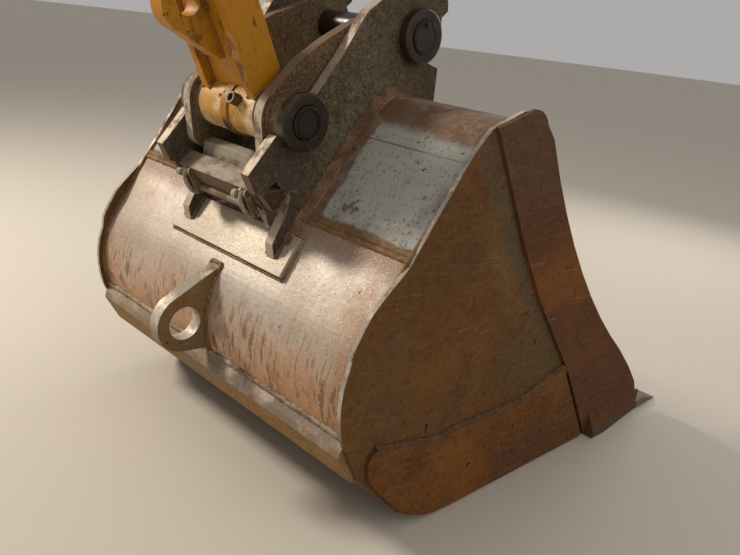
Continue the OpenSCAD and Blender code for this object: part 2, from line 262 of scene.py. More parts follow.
def worn_back(name, names, base=(0.41, 0.32, 0.245), scoured=(0.50, 0.43, 0.365)):
    """Bare plate, scoured bright in places, with orange rust low down and brown runs."""
    f = Finish(name, base, rough=0.5, metal=0.2, gloss=0.35)
    f.coat(f.cut(f.grain(2.4, 4, 0.55), 0.38, 0.66), scoured, rough=0.44, metal=0.32)
    scratches = f.cut(f.grain(110, 4, 0.6, (1, 0.07, 0.07)), 0.5, 0.7)
    f.coat(scratches, (0.30, 0.21, 0.15), strength=0.3)
    rusty = f.along(to_top, 0.55, 0.33, rag=f.ragged(4, 0.12))
    f.coat(rusty, (0.47, 0.235, 0.10), rough=0.56, metal=0.08, strength=0.9)
    dark_rust = f.times(rusty, f.cut(f.grain(16, 7, 0.7), 0.5, 0.68))
    f.coat(dark_rust, (0.24, 0.115, 0.055), rough=0.64, metal=0.03)
    stains = f.cut(f.grain(5, 6, 0.7, at=(3, 2, 1)), 0.54, 0.66)
    f.coat(stains, (0.36, 0.20, 0.10), rough=0.55, metal=0.1, strength=0.5)
    near_rim = f.times(f.along(to_left, 0.47, 0.56, rag=f.ragged(6, 0.03)), f.along(to_top, 0.70, 0.5))
    f.coat(near_rim, (0.34, 0.165, 0.075), rough=0.6, metal=0.05, strength=0.8)
    wet = f.times(f.cut(f.grain(66, 3, 0.55, (1, 0.22, 0.22)), 0.55, 0.61),
                  f.cut(f.grain(5, 3, 0.5, at=(2, 0, 5)), 0.40, 0.50), f.along(to_top, 0.54, 0.45))
    f.coat(wet, (0.155, 0.078, 0.044), rough=0.55, metal=0.05, strength=0.85)
    runs = f.times(f.cut(f.grain(92, 3, 0.55, (1, 0.2, 0.2), at=(4, 6, 1)), 0.55, 0.62),
                   f.cut(f.grain(7, 3, 0.5, at=(6, 1, 3)), 0.44, 0.54), f.along(to_top, 0.58, 0.46))
    f.coat(runs, (0.175, 0.090, 0.050), rough=0.55, metal=0.05, strength=0.7)
    dark_specks = f.cut(f.grain(85, 2, 0.6, (1, 0.6, 0.6)), 0.69, 0.74)
    f.coat(dark_specks, (0.11, 0.075, 0.05), rough=0.7, metal=0.0)
    inner_face = f.facing((0, -0.94, 0.34), 0.35, 0.6)
    f.coat(inner_face, (0.15, 0.078, 0.035), rough=0.72, metal=0.02)
    dark_inside = f.times(inner_face, f.cut(f.grain(9, 8, 0.75), 0.46, 0.62))
    f.coat(dark_inside, (0.095, 0.05, 0.026), rough=0.78, metal=0.0)
    # Painted shadow: a brown band across the back just below the seam, where the ears shade it.
    painted_shadow_under_seam = f.along(up_panel, -0.075, -0.018, seam, f.ragged(12, 0.014))
    f.coat(painted_shadow_under_seam, (0.27, 0.16, 0.10), rough=0.62, metal=0.05, strength=0.8)
    fine_dirt = f.cut(f.grain(260, 2, 0.6), 0.56, 0.68)
    f.coat(fine_dirt, (0.19, 0.12, 0.075), rough=0.6, strength=0.6)
    fine_glints = f.cut(f.grain(230, 2, 0.6, at=(7, 7, 7)), 0.58, 0.68)
    f.coat(fine_glints, (0.64, 0.57, 0.48), rough=0.4, metal=0.3, strength=0.55)
    f.coat(f.edges(0.004), (0.62, 0.55, 0.47), rough=0.42, metal=0.3, strength=0.8)
    f.raise_by(f.grain(60, 5, 0.65), 0.0009)
    f.raise_by(f.grain(4, 2, 0.5), 0.0022)
    f.done(*names)


worn_back("scoured_back_plate", ["back_plate"])


# The upper panel: flat plate with pale grey paint left on it, rust over its top bend and
# beside its welds, and a thin joint line across it.
def worn_panel():
    f = Finish("pale_worn_panel", (0.37, 0.365, 0.325), rough=0.6)
    f.coat(f.cut(f.grain(3.2, 5, 0.6), 0.4, 0.72), (0.44, 0.43, 0.375), rough=0.56)
    dull = f.cut(f.grain(28, 6, 0.7), 0.52, 0.72)
    f.coat(dull, (0.33, 0.32, 0.28), rough=0.66, strength=0.4)
    over_top = f.along(up_panel, 0.300, 0.335, seam, f.ragged(9, 0.014))
    by_seam = f.along(up_panel, 0.040, 0.030, seam, f.ragged(14, 0.009))
    rag = f.ragged(14, 0.011)
    by_ears = f.times(f.along(to_right, -0.262, -0.248, rag=rag),
                      f.along(to_left, -0.262, -0.248, rag=rag))
    inner_face = f.facing((0, -0.8, -0.6), 0.3, 0.6)
    border = f.either(over_top, by_ears, by_seam, inner_face)
    f.coat(border, (0.17, 0.09, 0.048), rough=0.72)
    pale_border = f.times(border, f.cut(f.grain(20, 7, 0.7, at=(4, 1, 0)), 0.48, 0.66))
    f.coat(pale_border, (0.29, 0.21, 0.145), rough=0.62)
    orange_top = f.times(over_top, f.cut(f.grain(6, 5, 0.6, (0.4, 1, 1)), 0.5, 0.6))
    f.coat(orange_top, (0.22, 0.12, 0.07), strength=0.7)
    stains = f.cut(f.grain(6, 7, 0.7, at=(2, 8, 1)), 0.48, 0.64)
    f.coat(stains, (0.20, 0.16, 0.14), rough=0.7, strength=0.6)
    rust_spots = f.cut(f.grain(9, 9, 0.78, at=(1, 2, 0)), 0.575, 0.62)
    f.coat(rust_spots, (0.19, 0.12, 0.075), rough=0.7)
    dark_specks = f.cut(f.grain(118, 4, 0.65, (1, 0.8, 0.8)), 0.60, 0.65)
    f.coat(dark_specks, (0.06, 0.045, 0.035), rough=0.7, strength=0.85)
    fine_specks = f.cut(f.grain(150, 3, 0.6), 0.62, 0.70)
    f.coat(fine_specks, (0.09, 0.07, 0.055), rough=0.7, strength=0.85)
    joint = f.times(f.along(up_panel, 0.2665, 0.2682, seam), f.along(up_panel, 0.2712, 0.2695, seam))
    inward = f.times(f.along(to_right, -0.47, -0.40), f.along(to_left, -0.47, -0.40))
    dark_joint = f.times(joint, f.work_out("ADD", f.times(inward, 0.55), 0.2))
    f.coat(dark_joint, (0.10, 0.075, 0.06), rough=0.75)
    f.coat(f.edges(0.006), (0.62, 0.56, 0.49), rough=0.42, metal=0.4)
    f.raise_by(f.grain(70, 4, 0.6), 0.0008)
    f.raise_by(joint, -0.0015)
    f.done("top_panel")


worn_panel()


# The welds: beads laid by hand along each joint, lumpy and rusted over with the plates. The
# back and the panel are joined by two beads side by side, a little above the seam.
def shade(rgb, factors):
    """The colour made darker or lighter, by one factor or by one for each of its parts."""
    if isinstance(factors, (int, float)):
        factors = (factors, factors, factors)
    return tuple(min(1, part * factor) for part, factor in zip(rgb, factors))


def rusty_bead(name, tone, pale):
    """Weld metal of one tone, paler in patches and rubbed on its upper side."""
    f = Finish(name, tone, rough=0.7, gloss=0.2)
    f.coat(f.cut(f.grain(14, 6, 0.65), 0.42, 0.62), pale, rough=0.66)
    dirt = f.cut(f.grain(120, 4, 0.7), 0.5, 0.66)
    f.coat(dirt, shade(tone, 0.45), rough=0.78, strength=0.7)
    rubbed = f.times(f.facing(to_top, 0.5, 0.95), f.cut(f.grain(45, 5, 0.7), 0.46, 0.6))
    f.coat(rubbed, shade(pale, 1.5), rough=0.56, metal=0.1, strength=0.6)
    f.raise_by(f.grain(190, 3, 0.6), 0.0011)
    return f.done()


def tip(x, y, z):
    """Point in metres, from millimetres counted from the cutting edge's lower corner."""
    edge_to_origin = 887.958
    return Vector((x / 1000, (y - edge_to_origin) / 1000, z / 1000))


def arc(centre, radius, start, stop, steps):
    """Points (y, z) on an arc, in degrees from the back up."""
    turns = [math.radians(start + (stop - start) * i / steps) for i in range(steps + 1)]
    return [(centre[0] + radius * math.cos(a), centre[1] + radius * math.sin(a)) for a in turns]


def weld(name, lines, size, body, finish, lumps=0.5):
    """Beads of radius size along lines of points, joined in one piece. Lumps is how much of
    their radius they swell and shrink by."""
    longest_step = 0.024
    lump_size = 0.011
    bpy.ops.object.select_all(action="DESELECT")
    bpy.ops.mesh.primitive_plane_add(size=0.001)
    bead = bpy.context.object
    bead.name = name
    bpy.ops.object.mode_set(mode="EDIT")
    bpy.ops.mesh.select_all(action="SELECT")
    bpy.ops.mesh.delete(type="VERT")
    for line in lines:
        bpy.ops.mesh.select_all(action="DESELECT")
        bpy.ops.mesh.primitive_plane_add(size=0.001, location=line[0])
        bpy.ops.mesh.merge(type="CENTER")
        for here, there in zip(line, line[1:]):
            steps = max(1, math.ceil((there - here).length / longest_step))
            for i in range(steps):
                bpy.ops.mesh.extrude_region_move(
                    TRANSFORM_OT_translate={"value": (there - here) / steps})
    bpy.ops.mesh.select_all(action="SELECT")
    bpy.ops.mesh.subdivide(number_cuts=3)
    bpy.ops.object.mode_set(mode="OBJECT")
    bpy.ops.object.convert(target="CURVE")
    bead = bpy.context.object
    bead.data.bevel_depth = size
    bead.data.bevel_resolution = 2
    bead.data.use_fill_caps = True
    bpy.ops.object.convert(target="MESH")
    bead = bpy.context.object
    lumpy = bpy.data.textures.new(name, "CLOUDS")
    lumpy.noise_scale = lump_size
    swell = bead.modifiers.new("swell", "DISPLACE")
    swell.texture = lumpy
    swell.strength = size * lumps
    bpy.ops.object.modifier_apply(modifier="swell")
    bpy.ops.object.shade_smooth()
    dress(bead, finish)
    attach(bead, body)


brown_bead = rusty_bead("brown_weld", tone=(0.17, 0.085, 0.036), pale=(0.24, 0.135, 0.062))

# Points (y, z) and sizes as in the part's source. An end plate closes in by closing_in to
# the millimetre of depth.
seam_at = (1452.94, 737.24)
into_panel = (2.4, 1.8)
back_middle, back_radius = (1329, 433), 268
crest_middle, crest_radius = (814.8, 587.6), 600
lip_middle, lip_radius = (1162.6, 960.6), 90
half_width = 635
end_thick = 12
closing_in = 0.0349


def seam_line(above, x0, x1):
    """Line across the bucket, above the seam and sunk a little in the panel."""
    y = seam_at[0] + up_panel[1] * above - into_panel[0]
    z = seam_at[1] + up_panel[2] * above - into_panel[1]
    return [tip(x0, y, z), tip(x1, y, z)]


def by_end(side, y, z):
    """Point just inside an end plate, which closes in towards the back."""
    return tip(side * (half_width - end_thick - 1 - y * closing_in), y, z)


beside_ears = ((-573, -204), (-176, 176), (204, 573))
weld("seam_welds", [seam_line(above, x0, x1) for above in (6, 20) for x0, x1 in beside_ears],
     size=0.0088, body="bucket", finish=brown_bead)
rim_path = (arc(back_middle, back_radius + 1, -21, 32.5, 12) + [(1453.7, 737.8)]
            + arc(crest_middle, crest_radius + 1, 36.2, 47, 3)
            + arc(lip_middle, lip_radius + 1, 56, 86, 4))
weld("rim_welds", [[by_end(side, y, z) for y, z in rim_path] for side in (-1, 1)],
     size=0.0062, body="bucket", finish=brown_bead)


# The end plates, floor, tube, wear plates and edge: old plate gone brown, with orange and
# ochre patches, the last of a grey green paint, fine dirt, small pits and faint scratches.
def brown_plate(name, names, tone, orange, green, rim=None, rim_way=(0, 0.6, 0.8), rim_low=0.2,
                more=None):
    """Brown plate with orange and green patches. Rim is the colour of its thin faces where
    they look along rim_way, up and back to the key lamp: worn steel with a painted highlight.
    More lays coats of its own under the dirt."""
    f = Finish(name, tone, rough=0.74, gloss=0.16)
    f.coat(f.cut(f.grain(2.6, 6, 0.6), 0.40, 0.64), orange, rough=0.76)
    old_paint = f.cut(f.grain(2.2, 5, 0.6, at=(3, 1, 2)), 0.5, 0.66)
    f.coat(old_paint, green, rough=0.7, strength=0.85)
    if more is not None:
        more(f)
    stains = f.cut(f.grain(8, 8, 0.72, at=(1, 4, 0)), 0.5, 0.68)
    f.coat(stains, shade(tone, 0.55), rough=0.8, strength=0.45)
    dark_dirt = f.cut(f.grain(52, 6, 0.78), 0.48, 0.64)
    f.coat(dark_dirt, shade(tone, 0.45), rough=0.82, strength=0.5)
    pale_dirt = f.cut(f.grain(100, 5, 0.75, at=(2, 2, 2)), 0.53, 0.66)
    f.coat(pale_dirt, shade(orange, (1.6, 1.7, 2)), rough=0.7, strength=0.42)
    streaks = f.cut(f.grain(95, 4, 0.65, (1, 0.16, 1), (30, 0, 0)), 0.50, 0.66)
    f.coat(streaks, shade(orange, (1.2, 1.35, 1.7)), rough=0.7, strength=0.35)
    pits = f.cut(f.grain(17, 3, 0.5, (1, 1.5, 1), at=(0.5, 0.2, 0.9)), 0.71, 0.735)
    f.coat(pits, (0.035, 0.018, 0.01), rough=0.8, strength=0.8)
    for turn, drawn_out in ((24, 0.035), (36, 0.05)):
        line = f.grain(48, 2, 0.5, (1, drawn_out, 1), (turn, 0, 0), (turn, 0, 0))
        scratches = f.times(f.cut(line, 0.600, 0.606), f.cut(line, 0.618, 0.610),
                            f.cut(f.grain(5, 2, at=(turn, 2, 1)), 0.5, 0.6))
        f.coat(scratches, (0.29, 0.19, 0.11), rough=0.6, strength=0.3)
    worn_edges = f.times(f.edges(0.004), f.cut(f.grain(30, 4, 0.6), 0.38, 0.58))
    f.coat(worn_edges, (0.33, 0.23, 0.15), rough=0.55, metal=0.2, strength=0.65)
    if rim is not None:
        # Painted highlight on worn steel: the pale rim lies only on thin faces that look up and back, the
        # side the key lamp lights.
        worn_and_lit_rim = f.times(f.rims(), f.facing(rim_way, rim_low, rim_low + 0.3),
                           f.cut(f.grain(11, 7, 0.72), 0.30, 0.52),
                           f.cut(f.grain(70, 4, 0.7, at=(3, 3, 0)), 0.28, 0.44))
        f.coat(worn_and_lit_rim, shade(rim, 0.52), rough=0.54, metal=0.12)
        rubbed = f.times(worn_and_lit_rim, f.cut(f.grain(7, 6, 0.7, at=(5, 2, 7)), 0.47, 0.62))
        f.coat(rubbed, rim, rough=0.44, metal=0.2)
    f.raise_by(f.grain(80, 6, 0.7), 0.0009)
    f.raise_by(f.grain(5, 3, 0.5), 0.003)
    f.raise_by(pits, -0.0015)
    f.done(*names)


def end_patches(f):
    """Grey dirt and ochre beside the side bar, and olive paint low down."""
    from_bar = (0, 0.807, -0.592)
    bar_edge = (0, -0.203, 0.284)
    ochre = f.times(f.along(from_bar, 0.17, 0.10, bar_edge, f.ragged(6, 0.03)),
                    f.cut(f.grain(7, 5, 0.65, at=(9, 0, 2)), 0.36, 0.6))
    f.coat(ochre, (0.185, 0.112, 0.038), rough=0.72, strength=0.7)
    grey_dirt = f.along(from_bar, 0.095, 0.055, bar_edge, f.ragged(8, 0.02))
    f.coat(grey_dirt, (0.092, 0.072, 0.045), rough=0.66, strength=0.75)
    olive = f.times(f.along(from_bar, 0.30, 0.14, bar_edge, f.ragged(5, 0.05)),
                    f.along(to_top, 0.55, 0.40, rag=f.ragged(4, 0.05, (1, 1, 1))))
    f.coat(olive, (0.105, 0.076, 0.028), rough=0.7, strength=0.75)


brown_plate("brown_end_plate", ["end_plate_left", "end_plate_right"],
            tone=(0.128, 0.058, 0.020), orange=(0.175, 0.075, 0.020), green=(0.115, 0.076, 0.034),
            rim=(0.62, 0.54, 0.46), more=end_patches)
brown_plate("brown_floor_plate", ["floor_plate", "torsion_tube"],
            tone=(0.15, 0.08, 0.038), orange=(0.19, 0.095, 0.035), green=(0.16, 0.115, 0.065))


def on_end(side, out, y, z):
    """Point at distance out from an end plate, which closes in towards the back."""
    turn = math.radians(2)
    return tip(side * (half_width + out * math.cos(turn) - y * math.sin(turn)),
               y * math.cos(turn) + out * math.sin(turn), z)


purple_bead = rusty_bead("purple_weld", tone=(0.104, 0.052, 0.027), pale=(0.150, 0.074, 0.028))
top_of_wear = (arc((1488, 256), 30, 75, 130, 3)
               + [(1420, 270), (1275, 240), (1198, 250), (920, 245), (720, 306), (688, 290)])
weld("wear_welds", [[on_end(side, 1, y, z) for y, z in top_of_wear] for side in (-1, 1)],
     size=0.0118, body="bucket", finish=purple_bead, lumps=0.3)
brown_plate("orange_wear_plate", ["wear_plate_left", "wear_plate_right"],
            tone=(0.130, 0.050, 0.016), orange=(0.215, 0.084, 0.016), green=(0.095, 0.05, 0.025))
brown_plate("scoured_edge_steel", ["cutting_edge"],
            tone=(0.19, 0.14, 0.10), orange=(0.24, 0.17, 0.11), green=(0.16, 0.13, 0.095))


# The side bars and their shoes: thick bars up each side of the mouth, redder than the end
# plates, greyer towards the top and bright orange where stones rub them half way up.
def red_bars():
    f = Finish("red_brown_side_bar", (0.112, 0.044, 0.018), rough=0.74, gloss=0.16)
    f.coat(f.cut(f.grain(3.4, 6, 0.62), 0.42, 0.66), (0.150, 0.058, 0.020), rough=0.76)
    grey_top = f.along(to_top, 0.74, 0.95, rag=f.ragged(5, 0.05))
    f.coat(grey_top, (0.105, 0.062, 0.036), strength=0.8)
    orange = f.times(f.along(to_top, 0.50, 0.60, rag=f.ragged(7, 0.05)),
                     f.along(to_top, 0.72, 0.62, rag=f.ragged(7, 0.05, (2, 2, 2))))
    f.coat(orange, (0.205, 0.078, 0.018), rough=0.76, strength=0.9)
    dark_dirt = f.cut(f.grain(46, 6, 0.78), 0.48, 0.64)
    f.coat(dark_dirt, (0.050, 0.022, 0.012), rough=0.8, strength=0.5)
    pale_dirt = f.cut(f.grain(98, 5, 0.75, at=(2, 2, 2)), 0.54, 0.66)
    f.coat(pale_dirt, (0.26, 0.125, 0.05), rough=0.7, strength=0.4)
    streaks = f.cut(f.grain(90, 4, 0.65, (1, 0.16, 1), (20, 0, 0)), 0.50, 0.66)
    f.coat(streaks, (0.20, 0.085, 0.032), rough=0.7, strength=0.35)
    line = f.grain(46, 2, 0.5, (1, 0.04, 1), (12, 0, 0))
    scratches = f.times(f.cut(line, 0.585, 0.6), f.cut(line, 0.635, 0.615),
                        f.along(to_top, 0.36, 0.5), f.along(to_top, 0.78, 0.66))
    f.coat(scratches, (0.32, 0.19, 0.10), rough=0.6, strength=0.4)
    # Painted shade: the feet of the bars and shoes darkened, where their lower bevel turns down away from
    # the light.
    painted_shade_at_foot = f.along(to_top, 0.05, 0.012, rag=f.ragged(20, 0.012))
    f.coat(painted_shade_at_foot, (0.09, 0.06, 0.045), rough=0.6, metal=0.1, strength=0.85)
    worn_edges = f.times(f.edges(0.005), f.cut(f.grain(30, 4, 0.6), 0.36, 0.56))
    f.coat(worn_edges, (0.30, 0.19, 0.12), rough=0.55, metal=0.2, strength=0.55)
    f.raise_by(f.grain(85, 6, 0.7), 0.0012)
    f.raise_by(f.grain(6, 3, 0.5), 0.004)
    f.done("side_bar_left", "side_bar_right", "corner_shoe_left", "corner_shoe_right")


red_bars()


# The heel bar, the lifting eye and the pad under the ears: orange brown bars whose upper
# edges are rubbed pale and carry a painted highlight, and a scoured plate, with the beads that hold them.
brown_plate("orange_heel_bar", ["heel_bar"],
            tone=(0.25, 0.145, 0.058), orange=(0.33, 0.185, 0.066), green=(0.22, 0.155, 0.085),
            rim=(0.385, 0.305, 0.235), rim_way=(0, 0.83, 0.555), rim_low=0.66)
# The eye's pale thin faces are a painted highlight of its lit rim, on worn steel.
brown_plate("brown_eye", ["bucket_eye"],
            tone=(0.175, 0.105, 0.050), orange=(0.235, 0.130, 0.046), green=(0.165, 0.120, 0.072),
            rim=(0.56, 0.48, 0.38), rim_low=-0.2)
worn_back("scoured_pad", ["hinge_pad"], base=(0.40, 0.325, 0.235), scoured=(0.46, 0.385, 0.30))

heel_corner = (1579, 331)
eye_half = 22
pale_bead = rusty_bead("rubbed_weld", tone=(0.20, 0.145, 0.105), pale=(0.34, 0.27, 0.205))
weld("heel_weld", [[tip(x, *heel_corner) for x in ends] for ends in ((-566, -eye_half), (eye_half, 566))],
     size=0.0068, body="bucket", finish=pale_bead, lumps=0.8)
eye_path = arc(back_middle, back_radius + 1.5, -19.5, 32.5, 12)
weld("eye_welds", [[tip(side * eye_half, y, z) for y, z in eye_path] for side in (-1, 1)]
     + [[tip(x, y, z) for x in (-eye_half, eye_half)] for y, z in (eye_path[0], eye_path[-1])],
     size=0.0062, body="bucket", finish=brown_bead)
pad_half = 252
pad_ends = ((1539, 605.9), (1476.2, 704.6))
pad_side = ((1537.4, 609), (1478.6, 701.5))
tan_bead = rusty_bead("tan_weld", tone=(0.22, 0.135, 0.075), pale=(0.33, 0.235, 0.15))
weld("pad_welds", [[tip(x, y, z) for x in (-pad_half, pad_half)] for y, z in pad_ends]
     + [[tip(side * pad_half, y, z) for y, z in pad_side] for side in (-1, 1)],
     size=0.0046, body="bucket", finish=tan_bead)


# The ears with the bar between their tails, and the lock's lugs and rod: flame cut plate, the
# grey green paint broken up by rust all over, with thin faces that are rubbed bright and carry a
# painted highlight.
def eared_plate(name, names, paint, rust, rim=(0.44, 0.35, 0.26), rim_way=(0, 0.77, 0.64), rim_low=0.3,
                worn_where=None, ends=None, more=None):
    """Rust under broken paint. Rim is the colour of the thin faces where they look along
    rim_way, worn steel with a painted highlight; worn_where masks the thin faces, ends is the
    colour of the faces that look to the left and right, and more lays coats of its own."""
    f = Finish(name, rust, rough=0.72, gloss=0.18)
    fine = f.grain(90, 7, 0.8)
    painted = f.work_out("ADD", f.times(f.grain(4.5, 5, 0.6), 0.8), f.times(fine, 1.2))
    f.coat(f.cut(painted, 0.90, 1.08), paint, rough=0.66)
    pale_paint = f.times(f.cut(f.grain(6, 7, 0.72, at=(8, 3, 1)), 0.50, 0.62), f.cut(fine, 0.36, 0.56))
    f.coat(pale_paint, shade(paint, 1.45), rough=0.62, strength=0.85)
    stains = f.cut(f.grain(22, 7, 0.75, at=(1, 3, 2)), 0.52, 0.68)
    f.coat(stains, shade(rust, 0.6), rough=0.78, strength=0.55)
    red_rust = f.times(f.cut(f.grain(5, 7, 0.74, at=(4, 0, 6)), 0.48, 0.6), f.cut(fine, 0.62, 0.42))
    f.coat(red_rust, shade(rust, (1.45, 1.15, 1.0)), rough=0.78, strength=0.85)
    dark_specks = f.cut(f.grain(120, 5, 0.75), 0.53, 0.62)
    f.coat(dark_specks, shade(paint, 0.3), rough=0.78, strength=0.85)
    pale_specks = f.cut(f.grain(125, 5, 0.75, at=(5, 5, 5)), 0.54, 0.64)
    f.coat(pale_specks, shade(paint, 2.0), rough=0.62, strength=0.8)
    sand = f.cut(f.grain(170, 3, 0.7, at=(1, 5, 3)), 0.58, 0.66)
    f.coat(sand, (0.27, 0.22, 0.15), rough=0.6, strength=0.5)
    if more is not None:
        more(f)
    if ends is not None:
        for way in (to_left, to_right):
            f.coat(f.times(f.facing(way, 0.6, 0.8), f.cut(fine, 0.3, 0.5)), ends, rough=0.76)
    thin_faces = f.rims()
    if worn_where is not None:
        thin_faces = f.times(thin_faces, worn_where(f))
    f.coat(thin_faces, (0.17, 0.10, 0.058), rough=0.7, strength=0.75)
    # Painted highlight as well as wear: the thin faces that look along rim_way, up and back towards the
    # key lamp, are made bright.
    bright = f.times(thin_faces, f.facing(rim_way, rim_low, rim_low + 0.35),
                     f.cut(f.grain(15, 7, 0.72), 0.36, 0.54))
    f.coat(bright, rim, rough=0.5, metal=0.15)
    worn_edges = f.times(f.edges(0.005), f.cut(f.grain(24, 5, 0.65), 0.42, 0.58))
    f.coat(worn_edges, rim, rough=0.5, metal=0.2, strength=0.5)
    f.raise_by(f.grain(75, 6, 0.7), 0.0012)
    f.raise_by(f.grain(8, 3, 0.5), 0.0025)
    return f.done(*names)


def dark_tail(f):
    """Painted shadow of the bar on the ear's tail, and brown rust towards its nose."""
    # Painted shadow: the tail darkened back past the bar, where the bar shades it.
    painted_shadow_on_tail = f.times(f.along(to_back, 0.50, 0.60, rag=f.ragged(7, 0.03)),
                   f.cut(f.grain(60, 5, 0.7), 0.34, 0.52))
    f.coat(painted_shadow_on_tail, (0.058, 0.042, 0.034), rough=0.7, strength=0.75)
    nose = f.times(f.along(to_mouth, -0.36, -0.24, rag=f.ragged(7, 0.04, (3, 0, 1))),
                   f.cut(f.grain(60, 5, 0.7, at=(1, 1, 0)), 0.40, 0.58))
    f.coat(nose, (0.088, 0.050, 0.028), rough=0.74, strength=0.6)


eared_plate("grey_green_ear", ["ear_left", "ear_right"],
            paint=(0.118, 0.102, 0.066), rust=(0.078, 0.050, 0.028), more=dark_tail)
# The bar's end faces, between the ears' tails, are dark: rust, and a painted shade of that narrow gap.
eared_plate("brown_bar", ["ear_bridge"], paint=(0.14, 0.115, 0.08), rust=(0.10, 0.066, 0.038),
            rim=(0.25, 0.20, 0.145), rim_low=0.1, ends=(0.062, 0.032, 0.016))
lug_finish = eared_plate("brown_lug", ["lock_lug_left", "lock_lug_right"],
                         paint=(0.19, 0.155, 0.105), rust=(0.12, 0.08, 0.048), rim=(0.38, 0.32, 0.24))
eared_plate("brown_rod", ["lock_rod"], paint=(0.105, 0.080, 0.050), rust=(0.070, 0.045, 0.026),
            rim=(0.21, 0.165, 0.115))


up_back = (-0.537, 0.843)
mid_panel = (1300, 943)


def on_seam(along, high):
    """Point on the flat back, along it from the seam and high above the plate."""
    return (seam_at[0] + up_back[0] * along + up_back[1] * high,
            seam_at[1] + up_back[1] * along - up_back[0] * high)


def ear_base(high):
    """Line along an ear's foot, high above the back, the panel, the top bend and the lip."""
    return ([on_seam(-72, 12), on_seam(-60, 16.3 + 0.35 * high), on_seam(-42, max(high, 9)),
             on_seam(-30, high), on_seam(0, high), (mid_panel[0] + high * 0.8, mid_panel[1] + high * 0.6)]
            + arc(crest_middle, crest_radius + high, 36.2, 47, 3)
            + arc(lip_middle, lip_radius + high, 56, 88, 5) + [(1124, 1050 + high), (1124, 1036)])


dusty_bead = rusty_bead("dusty_weld", tone=(0.10, 0.068, 0.045), pale=(0.19, 0.14, 0.098))
on_pad = [(1517, 646), (1527.5, 654), (1491, 711), (1477, 703)]
beside_ear_faces = (-208, -172, 172, 208)
weld("ear_foot_welds", [[tip(x, y, z) for y, z in on_pad] for x in beside_ear_faces],
     size=0.0066, body="bucket", finish=dusty_bead)
red_bead = rusty_bead("red_weld", tone=(0.130, 0.068, 0.034), pale=(0.245, 0.150, 0.086))

# Each bead's distance from the middle, and its height over the plates that the ear stands on.
foot_beads = ((207, 19), (210, 12.5), (215.5, 6.5), (222, 1), (173, 10), (168, 3))
weld("ear_welds", [[tip(side * x, y, z) for y, z in ear_base(high)]
                   for x, high in foot_beads for side in (-1, 1)],
     size=0.0052, body="bucket", finish=red_bead)
dark_bead = rusty_bead("dark_weld", tone=(0.085, 0.050, 0.032), pale=(0.13, 0.082, 0.050))
bar_corners = [(1581, 812), (1541.8, 846.1), (1505.0, 803.8), (1544.3, 769.7), (1581, 812)]
weld("bar_welds", [[tip(x, y, z) for y, z in bar_corners] for x in (-172, 172)],
     size=0.0065, body="bucket", finish=dark_bead)


# Between the two cheeks of each lug a hook bends round the lock rod, with a rounded head
# on the side that looks to the far end.
pale_clamp = rusty_bead("pale_clamp", tone=(0.27, 0.225, 0.165), pale=(0.44, 0.38, 0.29))
hook_bend = [(1577, 805), (1585, 795), (1586, 782), (1581, 769), (1573, 757), (1562, 746), (1549, 739),
             (1538, 740)]
weld("lock_hooks", [[tip(x, y, z) for y, z in hook_bend] for x in (-126, 126)],
     size=0.0062, body="bucket", finish=pale_clamp, lumps=0.12)
weld("hook_heads", [[tip(x + out, 1584, 794) for out in (0, 13, 16)] for x in (-112, 140)],
     size=0.0115, body="bucket", finish=pale_clamp, lumps=0.12)


# A strap hangs from the near end of the lock rod, held by a split pin.
def soften(piece, width, segments):
    """Round the edges of the piece."""
    soft = piece.modifiers.new("soft", "BEVEL")
    soft.width = width
    soft.segments = segments
    bpy.ops.object.modifier_apply(modifier="soft")


def lock_strap():
    """Flat strap that narrows to its foot."""
    thick, wide = 0.004, 0.014
    narrower = 0.55
    top, foot = tip(-156, 1543, 763), tip(-165, 1525, 714)
    turn = (top - foot).to_track_quat("Z", "Y")
    bpy.ops.object.select_all(action="DESELECT")
    bpy.ops.mesh.primitive_cube_add(size=1, location=(top + foot) / 2, rotation=turn.to_euler(),
                                    scale=(thick, wide, (top - foot).length))
    strap = bpy.context.object
    strap.name = "lock_strap"
    bpy.ops.object.transform_apply(location=True, rotation=True, scale=True)
    for face in strap.data.polygons:
        face.select = False
    for edge in strap.data.edges:
        edge.select = False
    for v in strap.data.vertices:
        v.select = (v.co - foot).length < wide
    bpy.ops.object.mode_set(mode="EDIT")
    bpy.ops.transform.resize(value=(narrower, narrower, narrower), center_override=foot)
    bpy.ops.object.mode_set(mode="OBJECT")
    soften(strap, 0.0016, 3)
    dress(strap, pale_clamp)
    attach(strap, "bucket")


lock_strap()
weld("split_pin", [[tip(-154, 1553, 770), tip(-154, 1541.6, 757.5), tip(-156, 1530, 748)],
                   [tip(-156, 1532, 771), tip(-154, 1541.6, 757.5), tip(-154, 1550, 745)]],
     size=0.0028, body="bucket", finish=pale_clamp, lumps=0.1)


# The coupler: two plates and a cross plate, dark brown under oily dirt, with thin faces at the
# rear that are worn bright and carry a painted highlight, and the pins with their collars, blackened by
# grease.
def on_plate_faces(f):
    """Mask of the coupler's two plates without their bosses."""
    outer, inner, step = 0.1715, 0.1385, 0.001
    within_outer = f.times(f.along(to_right, outer, outer - step), f.along(to_left, outer, outer - step))
    past_inner = f.either(f.along(to_right, inner, inner + step), f.along(to_left, inner, inner + step))
    return f.times(within_outer, past_inner)


eared_plate("brown_coupler", ["coupler_side_left", "coupler_side_right"],
            paint=(0.155, 0.112, 0.060), rust=(0.104, 0.062, 0.032), rim=(0.50, 0.42, 0.33),
            rim_way=(0, 1, -0.05), rim_low=0.6, worn_where=on_plate_faces)
eared_plate("grey_cross_plate", ["coupler_cross"], paint=(0.15, 0.125, 0.09), rust=(0.09, 0.06, 0.038),
            rim=(0.34, 0.29, 0.22))


